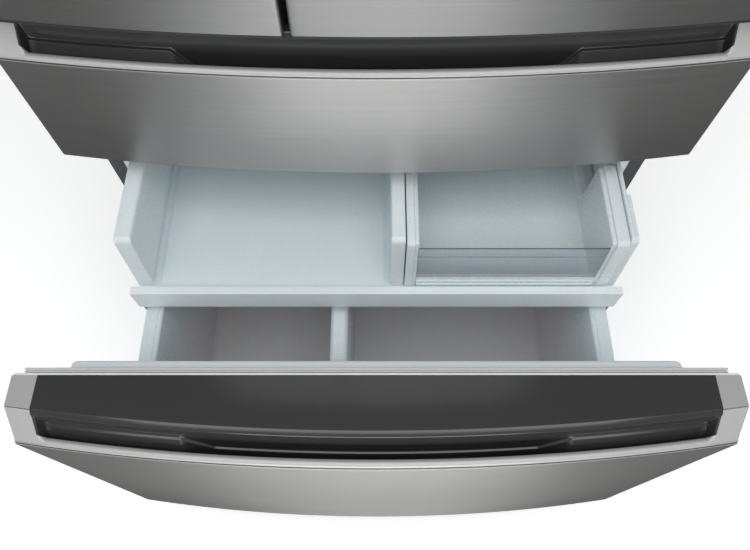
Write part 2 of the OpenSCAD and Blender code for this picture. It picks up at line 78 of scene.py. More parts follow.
def finish(name, base, rough, metal, grain, tint, spread, relief=0.0, depth=0.0,
           spangle=False, tangent=False, **sockets):
    """Adds a procedural finish: colour, roughness and relief follow a fine field stretched by
    grain, and a wide faint field keeps large faces from looking all alike."""
    made = bpy.data.materials.new(name)
    made.use_nodes = True
    nodes, links = made.node_tree.nodes, made.node_tree.links
    shader = nodes["Principled BSDF"]
    place = nodes.new("ShaderNodeTexCoord")
    stretch = nodes.new("ShaderNodeMapping")
    stretch.inputs["Scale"].default_value = grain
    links.new(place.outputs["Object"], stretch.inputs["Vector"])
    if spangle:
        fine = nodes.new("ShaderNodeTexVoronoi")
        split = nodes.new("ShaderNodeSeparateColor")
        links.new(fine.outputs["Color"], split.inputs["Color"])
        value = split.outputs["Red"]
    else:
        fine = nodes.new("ShaderNodeTexNoise")
        fine.inputs["Detail"].default_value = 4.0
        value = fine.outputs["Fac"]
    fine.inputs["Scale"].default_value = 1.0
    links.new(stretch.outputs["Vector"], fine.inputs["Vector"])
    wide = nodes.new("ShaderNodeTexNoise")
    wide.inputs["Scale"].default_value = 3.0
    wide.inputs["Detail"].default_value = 2.0
    links.new(place.outputs["Object"], wide.inputs["Vector"])
    both = nodes.new("ShaderNodeMix")
    both.inputs[0].default_value = 0.3
    links.new(value, both.inputs[2])
    links.new(wide.outputs["Fac"], both.inputs[3])
    ramp = nodes.new("ShaderNodeValToRGB")
    ramp.color_ramp.elements[0].position = 0.25
    ramp.color_ramp.elements[1].position = 0.75
    for element, share in zip(ramp.color_ramp.elements, (1 - tint, 1 + tint)):
        element.color = [min(1.0, c * share) for c in base] + [1.0]
    links.new(both.outputs[0], ramp.inputs["Fac"])
    links.new(ramp.outputs["Color"], shader.inputs["Base Color"])
    gloss = nodes.new("ShaderNodeMapRange")
    gloss.inputs["From Min"].default_value = 0.25
    gloss.inputs["From Max"].default_value = 0.75
    gloss.inputs["To Min"].default_value = max(0.02, rough - spread)
    gloss.inputs["To Max"].default_value = rough + spread
    links.new(both.outputs[0], gloss.inputs["Value"])
    links.new(gloss.outputs["Result"], shader.inputs["Roughness"])
    shader.inputs["Metallic"].default_value = metal
    if relief:
        bump = nodes.new("ShaderNodeBump")
        bump.inputs["Strength"].default_value = relief
        bump.inputs["Distance"].default_value = depth
        links.new(value, bump.inputs["Height"])
        links.new(bump.outputs["Normal"], shader.inputs["Normal"])
    if tangent:
        around = nodes.new("ShaderNodeTangent")
        around.direction_type = "RADIAL"
        around.axis = "Z"
        links.new(around.outputs["Tangent"], shader.inputs["Tangent"])
    for socket, number in sockets.items():
        shader.inputs[socket.replace("_", " ")].default_value = number
    FINISHES[name] = made


# Name, colour, roughness, metallic, grain per metre, how far the colour and the roughness vary,
# strength and depth in metres of the relief, and the shader's other sockets.
finish("stainless", (0.495, 0.493, 0.486), 0.46, 1.0, (3, 3, 1400), 0.10, 0.05, 0.12, 0.00005,
       tangent=True, Anisotropic=0.8, Anisotropic_Rotation=0.25)
finish("bright_trim", (0.505, 0.505, 0.50), 0.42, 0.32, (4, 4, 1200), 0.03, 0.04, 0.05, 0.00004)
finish("dark_top", (0.037, 0.038, 0.037), 0.15, 0.0, (1500, 1500, 1500), 0.10, 0.03, 0.04, 0.00003,
       Specular_IOR_Level=0.85)
# The pocket finish is matt (real), and its colour, darker than the dark top's, is painted shade of the recess
# behind the lip.
finish("pocket", (0.022, 0.023, 0.022), 0.42, 0.0, (1100, 1100, 1100), 0.10, 0.06, 0.10, 0.00005,
       Specular_IOR_Level=0.4)
finish("case_paint", (0.085, 0.092, 0.095), 0.40, 0.0, (420, 420, 420), 0.06, 0.05, 0.35, 0.00015,
       Coat_Weight=0.25)
finish("liner", (0.81, 0.868, 0.895), 0.34, 0.0, (700, 700, 700), 0.02, 0.05, 0.06, 0.00004,
       Subsurface_Weight=0.08, Subsurface_Scale=0.004)
finish("bin_plastic", (0.76, 0.835, 0.86), 0.28, 0.0, (500, 500, 500), 0.02, 0.05, 0.04, 0.00004,
       Subsurface_Weight=0.22, Subsurface_Scale=0.008)
finish("bar_plastic", (0.82, 0.89, 0.915), 0.16, 0.0, (90, 90, 90), 0.02, 0.04, 0.02, 0.00003,
       Subsurface_Weight=0.3, Subsurface_Scale=0.006)
finish("zinc", (0.58, 0.59, 0.60), 0.38, 1.0, (90, 90, 90), 0.10, 0.08, 0.04, 0.00004, spangle=True)
finish("dark_plastic", (0.030, 0.031, 0.033), 0.48, 0.0, (1100, 1100, 1100), 0.10, 0.06, 0.20, 0.00008)
finish("black_paint", (0.012, 0.012, 0.013), 0.28, 0.0, (300, 300, 300), 0.15, 0.06, 0.10, 0.0001,
       Coat_Weight=0.3)
finish("fin_metal", (0.72, 0.73, 0.74), 0.30, 1.0, (200, 3, 3), 0.05, 0.06, 0.05, 0.00004)
finish("fan_plastic", (0.62, 0.64, 0.67), 0.38, 0.0, (600, 600, 600), 0.03, 0.05, 0.05, 0.00004)
finish("black_gloss", (0.010, 0.010, 0.012), 0.10, 0.0, (200, 200, 200), 0.10, 0.03, 0.01, 0.00002,
       Coat_Weight=0.6)
finish("shelf_glass", (0.90, 0.97, 0.955), 0.04, 0.0, (30, 30, 30), 0.01, 0.02,
       Transmission_Weight=1.0, IOR=1.5)
finish("clear_plastic", (0.90, 0.95, 0.975), 0.06, 0.0, (50, 50, 50), 0.01, 0.02, 0.02, 0.00004,
       Transmission_Weight=0.93, IOR=1.46)
finish("gasket", (0.60, 0.60, 0.595), 0.52, 0.0, (900, 900, 900), 0.05, 0.06, 0.10, 0.00005,
       Sheen_Weight=0.15)


# ---- mesh helpers ------------------------------------------------------------------------

class Shell:
    """Gathers the closed skins that make one piece."""

    def __init__(self):
        self.points, self.faces = [], []

    def loft(self, loops, wrap=False):
        """Joins equal closed loops one after another and caps both ends, or wraps round."""
        start, size, count = len(self.points), len(loops[0]), len(loops)
        for loop in loops:
            self.points.extend(loop)
        for i in range(count if wrap else count - 1):
            low, high = start + i * size, start + (i + 1) % count * size
            for j in range(size):
                k = (j + 1) % size
                self.faces.append((low + j, low + k, high + k, high + j))
        if not wrap:
            self.faces.append(tuple(range(start + size - 1, start - 1, -1)))
            last = start + (count - 1) * size
            self.faces.append(tuple(range(last, last + size)))
        return self

    def block(self, lo, hi):
        """A rectangular block; its edges are rounded when the piece is made."""
        corners = [(lo[0], lo[1]), (hi[0], lo[1]), (hi[0], hi[1]), (lo[0], hi[1])]
        self.loft([[(x, y, z) for x, y in corners] for z in (lo[2], hi[2])])

    def disc(self, centre, axis, profile, steps):
        """A turned solid: profile is (radius, distance along the axis), from end to end."""
        normal = Vector(axis).normalized()
        side = normal.orthogonal().normalized()
        other = normal.cross(side)
        loops = []
        for radius, along in profile:
            loops.append([
                tuple(Vector(centre) + normal * along
                      + (side * math.cos(t) + other * math.sin(t)) * radius)
                for t in (2 * math.pi * i / steps for i in range(steps))])
        self.loft(loops)

    def mirrored(self):
        """Adds the same skins on the other side of the middle plane."""
        shift = len(self.points)
        self.points.extend([(-x, y, z) for x, y, z in self.points])
        self.faces.extend([tuple(shift + i for i in reversed(face)) for face in list(self.faces)])
        return self


def make(name, shell, look, body, *nodes, bevel=0.0, segments=2, sharp=35):
    """Turns a shell into a finished piece that rides on a body and stands for CAD nodes."""
    mesh = bpy.data.meshes.new(name)
    mesh.from_pydata([tuple(p) for p in shell.points], [], shell.faces)
    work = bmesh.new()
    work.from_mesh(mesh)
    bmesh.ops.recalc_face_normals(work, faces=work.faces)
    work.to_mesh(mesh)
    work.free()
    mesh.shade_smooth()
    piece = bpy.data.objects.new(name, mesh)
    bpy.context.scene.collection.objects.link(piece)
    if bevel:
        rounding = piece.modifiers.new("edges", "BEVEL")
        rounding.width = bevel
        rounding.segments = segments
        rounding.limit_method = "ANGLE"
        rounding.angle_limit = math.radians(sharp)
        rounding.harden_normals = True
    else:
        mesh.set_sharp_from_angle(angle=math.radians(sharp))
    mesh.materials.append(FINISHES[look])
    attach(piece, body)
    if nodes:
        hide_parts(*nodes)
    return piece


def refine(node, look, body="cabinet", bevel=0.8 * MM, segments=2):
    """Stands a copy of a CAD node in its place, with flat faces rejoined and edges rounded."""
    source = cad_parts[node].data
    work = bmesh.new()
    work.from_mesh(source)
    bmesh.ops.remove_doubles(work, verts=work.verts, dist=0.01 * MM)
    bmesh.ops.dissolve_limit(work, angle_limit=math.radians(0.5), verts=work.verts, edges=work.edges)
    shell = Shell()
    work.verts.index_update()
    shell.points = [tuple(v.co) for v in work.verts]
    shell.faces = [tuple(v.index for v in face.verts) for face in work.faces]
    work.free()
    make(node + "_finished", shell, look, body, node, bevel=bevel, segments=segments)


def smooth(t):
    """Smooth step from 0 to 1."""
    t = min(1.0, max(0.0, t))
    return t * t * (3 - 2 * t)


def arc(centre, radius, start, end, steps):
    """Points on an arc in a plane, from one angle to another in degrees."""
    found = []
    for i in range(steps + 1):
        t = math.radians(start + (end - start) * i / steps)
        found.append((centre[0] + radius * math.cos(t), centre[1] + radius * math.sin(t)))
    return found


def rounded(lo, hi, r):
    """A rectangle with rounded corners, as pairs."""
    steps = 5
    r = max(r, 0.2 * MM)
    return (arc((hi[0] - r, hi[1] - r), r, 0, 90, steps)
            + arc((lo[0] + r, hi[1] - r), r, 90, 180, steps)
            + arc((lo[0] + r, lo[1] + r), r, 180, 270, steps)
            + arc((hi[0] - r, lo[1] + r), r, 270, 360, steps))


def upright_loops(lo, hi, r, profile):
    """Loops in the plane of the fronts: profile is (inset, y), lo and hi are (x, z)."""
    loops = []
    for inset, y in profile:
        outline = rounded((lo[0] + inset, lo[1] + inset), (hi[0] - inset, hi[1] - inset), r - inset)
        loops.append([(x, y, z) for x, z in outline])
    return loops


def plate_edge(y0, y1):
    """Profile, (inset, y), of a plate with softened edges, for upright_loops."""
    return [(0.6 * MM, y0), (0, y0 + 0.6 * MM), (0, y1 - 0.8 * MM), (0.8 * MM, y1)]


def tub(shell, lo, hi, wall, r, floor_r, draft):
    """An open-topped moulded box with a rounded floor, a slight draft and a rounded rim."""
    z0, z1 = lo[2], hi[2]
    profile = []
    for i in range(5):
        t = math.radians(90 * i / 4)
        profile.append((draft + floor_r * (1 - math.sin(t)), z0 + floor_r * (1 - math.cos(t))))
    profile += [(0, z1 - 1.2 * MM), (0.4 * MM, z1 - 0.4 * MM), (1.2 * MM, z1)]
    profile += [(wall - 1 * MM, z1), (wall, z1 - 1 * MM)]
    deep = wall + draft
    for i in range(5):
        t = math.radians(90 * i / 4)
        profile.append((deep + floor_r * (1 - math.cos(t)), z0 + wall + floor_r * (1 - math.sin(t))))
    loops = []
    for inset, z in profile:
        outline = rounded((lo[0] + inset, lo[1] + inset), (hi[0] - inset, hi[1] - inset),
                          r - inset * 0.5)
        loops.append([(x, y, z) for x, y in outline])
    return shell.loft(loops)


def front_y(nose, x):
    """Y of the bowed front at x, for a front whose middle reaches nose."""
    return nose + BOW_R - math.sqrt(BOW_R ** 2 - x * x)


def plan_line(x0, x1, nose, back, inset):
    """Plan of a bowed front seen from above: up one side, round the corners and down the other."""
    r = max(CORNER_R - inset, 0.4 * MM)
    radius = BOW_R - inset
    centre_y = nose + BOW_R
    ends = []
    for x, sign in ((x0 + inset, 1), (x1 - inset, -1)):
        cx = x + sign * r
        cy = centre_y - math.sqrt((radius - r) ** 2 - cx * cx)
        ends.append((cx, cy, math.degrees(math.atan2(cy - centre_y, cx))))
    (ax, ay, a_turn), (bx, by, b_turn) = ends
    line = [(x0 + inset, back)] + arc((ax, ay), r, -180, a_turn, 6)
    bow = arc((0, centre_y), radius, a_turn, b_turn, 72)[1:-1]
    return line + bow + arc((bx, by), r, b_turn, 0, 6) + [(x1 - inset, back)]


def sheet_front(x0, x1, z0, z1, nose, back):
    """A folded sheet steel front, from z0 to z1 in millimetres, with a hem at its foot and a rolled
    edge at its head."""
    section = [(0, z0 + 1.6), (0.15, z0 + 0.8), (0.5, z0 + 0.3), (1.2, z0), (9, z0), (9, z0 + 1.5),
               (2.2, z0 + 1.5), (1.5, z0 + 2.4), (1.5, z1 - 1.6), (1.5, z1), (0.9, z1),
               (0.4, z1 - 0.3), (0.1, z1 - 0.9), (0, z1 - 1.6)]
    lines = [plan_line(x0, x1, nose, back, d * MM) for d, _ in section]
    loops = [[(line[i][0], line[i][1], z * MM) for line, (_, z) in zip(lines, section)]
             for i in range(len(lines[0]))]
    return Shell().loft(loops)


# ---- drawer fronts -----------------------------------------------------------------------

def span(x0, x1, count, *dense):
    """Stations from x0 to x1: evenly spaced, with extra ones through each dense stretch."""
    found = [x0 + (x1 - x0) * i / count for i in range(count + 1)]
    for low, high, steps in dense:
        for side in (-1, 1):
            found += [side * (low + (high - low) * i / steps) for i in range(steps + 1)]
    return sorted({round(x, 6) for x in found if x0 <= x <= x1})


def offset_line(points, distance):
    """The same line moved sideways, to the left of its direction."""
    moved = []
    for i, (a, b) in enumerate(points):
        before = points[max(i - 1, 0)]
        after = points[min(i + 1, len(points) - 1)]
        dx, dy = after[0] - before[0], after[1] - before[1]
        length = math.hypot(dx, dy) or 1.0
        moved.append((a - dy / length * distance, b + dx / length * distance))
    return moved


def trough_line(floor, foot_h, back_d):
    """Upper face of a drawer's dark top, (depth, height), from back to front: a flat, a narrow
    facet, the rear wall down to a ledge at foot_h, and the matt slope down to the floor, whose darker colour
    is painted shade."""
    edge = SLOPE_D + 2.7 * MM
    foot_d = 30.5 * MM
    front_d = LIP_D + 5 * MM
    facet = 32
    facet_d, facet_h = 4.4 * MM, 2.5 * MM
    top_r, brow_r, foot_r, ledge_r, front_r = 5 * MM, 2.4 * MM, 2.4 * MM, 1.6 * MM, 1.4 * MM
    line = [(back_d, CAP_RISE), ((back_d + edge) / 2, CAP_RISE)]
    line += arc((edge, CAP_RISE - top_r), top_r, 90, 90 + facet, 4)
    brow = (line[-1][0] - facet_d, line[-1][1] - facet_h)
    turn = math.radians(90 + facet)
    lean = math.degrees(math.atan2(brow[0] - foot_d, brow[1] - foot_h))
    centre = (brow[0] - math.cos(turn) * brow_r, brow[1] - math.sin(turn) * brow_r)
    line += arc(centre, brow_r, 90 + facet, 180 - lean, 5)
    line += arc((foot_d - foot_r, foot_h + foot_r), foot_r, 0, -82, 6)
    ledge_d = foot_d - foot_r - 1.1 * MM
    slope = math.degrees(math.atan2(foot_h - floor, ledge_d - front_d))
    line += arc((ledge_d, foot_h - ledge_r), ledge_r, 97, 90 + slope, 4)
    line += arc((front_d, floor - front_r), front_r, 90 + slope, 180, 4)
    line += [(front_d - front_r, floor - 4 * MM), (LIP_D + 2.2 * MM, floor - 4.4 * MM),
             (LIP_D + 2 * MM, 0.2 * MM), (LIP_D + 0.6 * MM, 0.4 * MM)]
    return line


def drawer_top(name, body, nose, seam, back, node):
    """Dark moulded top whose trough dips into the finger pocket by two ramps and is shut by a wall
    at each end. The pocket's floor is matt, and its darker colour is painted shade of the recess behind the
    lip."""
    half = HALF_W - END_W - 0.3 * MM
    ramp = (POCKET_HALF - RAMP_HALF, POCKET_HALF + RAMP_HALF)
    wall = (half - 7 * MM, half - 2 * MM)
    thick = 2.2 * MM
    slope_d = 3 * MM
    steepness = (CAP_RISE - LIP_RISE) / (SLOPE_D - slope_d)
    loops = []
    for x in span(-half, half, 48, (*ramp, 6), (*wall, 8)):
        share = min(max((abs(x) - ramp[0]) / (ramp[1] - ramp[0]), 0.0), 1.0)
        floor = 2 * thick - POCKET_H + (POCKET_H - TROUGH_H) * share
        y = front_y(nose, x)
        line = trough_line(floor, floor + LEDGE_RISE, back - y)
        closing = smooth((abs(x) - wall[0]) / (wall[1] - wall[0]))
        shut = []
        for d, h in line:
            slope = LIP_RISE + (d - slope_d) * steepness - 1.2 * MM
            shut.append((d, h + (min(max(slope, h), CAP_RISE) - h) * closing))
        under = offset_line(line, thick)
        ring = shut + [(d, min(h, s[1] - 2 * MM)) for (d, h), s in zip(under, shut)][::-1]
        loops.append([(x, y + d, seam + h) for d, h in ring])
    piece = make(name, Shell().loft(loops), "dark_top", body, node, sharp=50)
    # Faces between the lip and POCKET_D take the darker pocket finish: painted shade of the recess behind the
    # lip.
    piece.data.materials.append(FINISHES["pocket"])
    for face in piece.data.polygons:
        depth = face.center.y - front_y(nose, face.center.x)
        face.material_index = int(LIP_D < depth < POCKET_D)


# The lip's upper and whole outline, (depth, height) in millimetres, and a dark strip in front of it that
# fills the gap to the skin as painted shade of that gap.
LIP_TOP = [(2.4, 0.4), (2.4, 0.9), (2.8, 1.8), (3.6, 3.0), (4.6, 4.0), (6.4, 4.8), (7.8, 5.2), (9, 5.2),
           (9.8, 5.05), (11.8, 4.2), (12.4, 3.7), (12.8, 3.0)]
LIP_LINE = LIP_TOP + [(12.8, -16), (3.2, -16), (3.2, 0.4)]
GAP_SHADE_LINE = [(1.4, -0.9), (1.4, 0.1), (1.7, 0.3), (2.6, 0.3), (2.6, -0.9)]
# A cap's slope, its foot and its head, the stations it is drawn at, and how it turns into the lip:
# over a width and depth of CORNER_BLEND, which ends at CORNER_D.
CAP_FOOT, CAP_HEAD = (3.6, 1.3), (SLOPE_D / MM, CAP_RISE / MM)
CAP_STATIONS = (2.4, 2.6, 2.8, 3.6, 4.6, 6.4, 7.8, 9, 9.8, 11.8, 12.4, 12.8, 14, 16, 18, 20, 23, 27, 31, 36.6)
CORNER_BLEND, CORNER_D = 7, 20


def bowed_rail(half, section, nose, seam):
    """A rail of one section, in millimetres, that follows the bow for half its width each way."""
    return Shell().loft([[(x, front_y(nose, x) + d * MM, seam + h * MM) for d, h in section]
                         for x in span(-half, half, 72)])


def drawer_lip(name, body, nose, seam, node):
    """Bright rolled bead along the front edge, and a dark strip between it and the skin: painted shade of the
    gap there.
    """
    half = HALF_W - END_W - (CORNER_BLEND - 0.05) * MM
    make(name, bowed_rail(half, LIP_LINE, nose, seam), "bright_trim", body, node, sharp=50)
    # A dark strip in the gap between the lip and the skin: painted shade of that gap.
    painted_gap_shade = bowed_rail(HALF_W - 1 * MM, GAP_SHADE_LINE, nose, seam)
    make(name + "_joint", painted_gap_shade, "dark_plastic", body, sharp=50)


def lip_height(d):
    """Height of the lip's top over the seam at depth d, in millimetres."""
    for (d0, h0), (d1, h1) in zip(LIP_TOP, LIP_TOP[1:]):
        if d <= d1:
            return h0 + (h1 - h0) * (d - d0) / (d1 - d0) if d1 > d0 else h1
    return LIP_TOP[-1][1]


def cap_height(d, inwards):
    """Height of an end cap at depth d, in millimetres: a straight slope that turns into the lip
    where inwards, the share of the way into the blend, goes from 0 to 1."""
    slope = CAP_FOOT[1] + (d - CAP_FOOT[0]) * (CAP_HEAD[1] - CAP_FOOT[1]) / (CAP_HEAD[0] - CAP_FOOT[0])
    if d < CAP_FOOT[0]:
        slope = lip_height(d)
    return slope + (lip_height(d) - slope) * smooth(inwards)


def drawer_ends(name, body, nose, seam, back, node):
    """Steel end caps: a sloped front piece that grows out of the lip, and a flat rear piece."""
    shell = Shell()
    outer, inner, foot, r = HALF_W, HALF_W - END_W, 0.4 * MM, 2.6 * MM
    blend = CORNER_BLEND * MM
    loops = []
    for d in CAP_STATIONS:
        reach = min(max((CORNER_D - d) / CORNER_BLEND, 0.0), 1.0)
        start = inner - blend * (1 - math.sqrt(1 - reach * reach))
        ring = [(start, foot)]
        for i in range(9):
            x = start + (inner + 2 * MM - start) * i / 8
            ring.append((x, max(cap_height(d, (inner - x) / blend) * MM, foot + 0.1 * MM)))
        h = max(cap_height(d, 0.0) * MM, foot + 0.1 * MM)
        turn = min(r, (h - foot) * 0.6)
        ring += arc((outer - turn, h - turn), turn, 90, 0, 5) + [(outer, foot)]
        loops.append([(x, front_y(nose, x) + d * MM, seam + z) for x, z in ring])
    shell.loft(loops)
    loops = []
    flat = [(inner, foot), (inner, CAP_RISE)]
    flat += arc((outer - r, CAP_RISE - r), r, 90, 0, 5) + [(outer, foot)]
    for share in (0.0, 0.02, 0.5, 0.98, 1.0):
        ring = []
        for x, h in flat:
            start = front_y(nose, x) + SLOPE_D + 0.4 * MM
            ring.append((x, start + (back - start) * share, seam + h))
        loops.append(ring)
    shell.loft(loops)
    make(name, shell.mirrored(), "bright_trim", body, node, bevel=0.8 * MM, sharp=40)


def drawer_back(name, body, low, high, node):
    """Foamed plastic back: a thin plate, and the raised middle, from low to high, that enters the
    compartment."""
    shell = Shell()
    lo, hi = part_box(node)
    y0, y1 = lo.y, lo.y + 3.5 * MM
    shell.loft(upright_loops((lo.x, lo.z), (hi.x, hi.z), 4 * MM, plate_edge(y0, y1)))
    r = 7 * MM
    rise = [(0, y1 - 1 * MM), (1 * MM, hi.y - r)]
    rise += [(1 * MM + r - a, b) for a, b in arc((0, hi.y - r), r, 0, 90, 6)]
    rise += [(40 * MM, hi.y), (42 * MM, hi.y - 0.8 * MM)]
    rise += [(46 * MM, hi.y - 3 * MM), (60 * MM, hi.y - 3.4 * MM)]
    shell.loft(upright_loops((-BACK_HALF, low), (BACK_HALF, high), 12 * MM, rise))
    make(name, shell, "liner", body, node, sharp=50)


# Section of a seal, (distance in from its outer edge, distance off its sealing face), for a seal
# 18 mm wide and 8.8 mm deep.
BELLOWS = [(3, 0), (2.6, 1.6), (0.6, 2.6), (0.2, 3.6), (2.4, 4.8), (0.3, 6.0), (0.2, 7.6), (1.2, 8.7),
           (6, 8.8), (7, 8.0), (8, 8.8), (15, 8.8), (16.6, 8.2), (17.6, 6.6), (14.5, 5.4), (16.4, 4.0),
           (12.5, 2.6), (12, 0)]


def gasket(name, body, node, width=18.0):
    """Magnetic seal: a folded bellows with a groove along its face, mitred at the corners."""
    lo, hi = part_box(node)
    profile = [(w * width / 18 * MM, lo.y + (hi.y - lo.y) * d / 8.8) for w, d in BELLOWS]
    loops = []
    for inset, y in profile:
        corners = [(lo.x + inset, lo.z + inset), (hi.x - inset, lo.z + inset),
                   (hi.x - inset, hi.z - inset), (lo.x + inset, hi.z - inset)]
        loops.append([(x, y, z) for x, z in corners])
    make(name, Shell().loft(loops, wrap=True), "gasket", body, node, bevel=0.25 * MM, sharp=40)


def drawer_front(kind, body):
    """Skin, dark top, lip, end caps, back and seal of one drawer."""
    lo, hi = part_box(kind + "_skin")
    nose, back, seam = lo.y, hi.y, hi.z
    shell = sheet_front(lo.x, hi.x, lo.z / MM, seam / MM, nose, back)
    foot = plan_line(lo.x, hi.x, nose, back, 1.2 * MM)
    shell.loft([[(x, y, z) for x, y in foot] for z in (lo.z + 0.05 * MM, lo.z + SHEET)])
    make(kind + "_front_skin", shell, "stainless", body, kind + "_skin", sharp=50)
    drawer_top(kind + "_front_top", body, nose, seam, back, kind + "_top")
    drawer_lip(kind + "_front_lip", body, nose, seam, kind + "_lip")
    drawer_ends(kind + "_front_ends", body, nose, seam, back, kind + "_ends")
    g_lo, g_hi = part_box(kind + "_gasket")
    drawer_back(kind + "_front_back", body, g_lo.z + 22 * MM, g_hi.z - 22 * MM, kind + "_back")
    gasket(kind + "_seal", body, kind + "_gasket")


drawer_front("middle", "middle_drawer")
drawer_front("freezer", "freezer_drawer")


# ---- doors -------------------------------------------------------------------------------

BIN_Z = (1100 * MM, 1315 * MM, 1525 * MM)
BIN_H = 95 * MM


def door(side):
    """One fresh food door: skin, caps, liner with its raised edge, seal and bins."""
    body = side + "_door"
    lo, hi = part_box(body + "_skin")
    shell = sheet_front(lo.x, hi.x, lo.z / MM, hi.z / MM, DOOR_NOSE, hi.y)
    make(body + "_front_skin", shell, "stainless", body, body + "_skin", sharp=50)
    refine(body + "_caps", "dark_plastic", body, 0.7 * MM)
    lo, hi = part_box(body + "_liner")
    shell = Shell()
    y0, y1 = lo.y, lo.y + 3.5 * MM
    shell.loft(upright_loops((lo.x, lo.z), (hi.x, hi.z), 5 * MM, plate_edge(y0, y1)))
    b_lo, b_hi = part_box(body + "_bins")
    x0, x1 = b_lo.x - 18.5 * MM, b_hi.x + 18.5 * MM
    z0, z1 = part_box("fresh_liner")[0].z + 17 * MM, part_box("fresh_liner")[1].z - 17 * MM
    dyke = [(0, y1 - 1 * MM), (1 * MM, PLANE + 24 * MM), (2.4 * MM, PLANE + 28 * MM),
            (5 * MM, PLANE + 30 * MM), (12 * MM, PLANE + 30 * MM), (15.4 * MM, PLANE + 27 * MM),
            (17 * MM, PLANE + 22 * MM), (18 * MM, y1 - 1 * MM)]
    shell.loft(upright_loops((x0, z0), (x1, z1), 16 * MM, dyke), wrap=True)
    panel = [(30 * MM, y1 - 1 * MM), (30.5 * MM, y1 + 2 * MM), (32 * MM, y1 + 3 * MM)]
    shell.loft(upright_loops((x0, z0), (x1, z1), 40 * MM, panel + [(60 * MM, y1 + 3 * MM)]))
    if side == "left":
        f_lo, f_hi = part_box("flip_mullion")
        for z in (f_lo.z - 2 * MM, f_hi.z - 7.5 * MM):
            shell.block((f_lo.x - 4 * MM, y1 - 1 * MM, z),
                        (f_lo.x + 6 * MM, PLANE + 7.5 * MM, z + 9.5 * MM))
    make(body + "_inner_liner", shell, "liner", body, body + "_liner", sharp=50)
    gasket(body + "_seal", body, body + "_gasket", 16.0)
    shell = Shell()
    rails = Shell()
    for z in BIN_Z:
        tub(shell, (b_lo.x, b_lo.y, z), (b_hi.x, b_hi.y, z + BIN_H), 2.6 * MM, 16 * MM, 9 * MM, 4 * MM)
        rails.block((b_lo.x + 24 * MM, b_hi.y - 1.6 * MM, z + 66 * MM),
                    (b_hi.x - 24 * MM, b_hi.y, z + 86 * MM))
    make(body + "_clear_bins", shell, "clear_plastic", body, body + "_bins", sharp=50)
    make(body + "_bin_bands", rails, "bright_trim", body, bevel=0.5 * MM)


door("left")
door("right")
refine("flip_mullion", "gasket", "flip_mullion", 1.5 * MM)

# ---- upper tray and ice bin --------------------------------------------------------------

tray_lo, tray_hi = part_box("upper_tray")
TRAY_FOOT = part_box("ice_bin")[0].z - 3.2 * MM
TRAY_HALF = tray_hi.x - 10 * MM
CENTRE_WALL = (22 * MM, 42 * MM)
RIGHT_BAND = 93 * MM        # length of the right wall's thick front part
HIGH_BIN = 155 * MM         # length of the ice bin's high walls, which clear the ice maker
REAR_RISE = 31 * MM         # height of the low rear walls over the tray's foot


def tray_outline(n, y0, y1, top, foot):
    """Side view of a tray wall, (y, z), drawn in by n along its leaning front and its top."""
    r, lean = 9 * MM, 11 * MM
    angle = math.degrees(math.atan2(top - foot, lean))
    inner = max(r - n, 0.4 * MM)
    centre = (y0 + lean + r * 0.2 + inner, top - r)
    return [(y0 + n, foot)] + arc(centre, inner, 90 + angle, 90, 6) + [(y1, top - n), (y1, foot)]


def layered_wall(shell, layers, y0, y1, top, foot):
    """A moulded wall: layers are (x, how far the outline is drawn in, in millimetres)."""
    shell.loft([[(x, y, z) for y, z in tray_outline(n * MM, y0, y1, top, foot)] for x, n in layers])


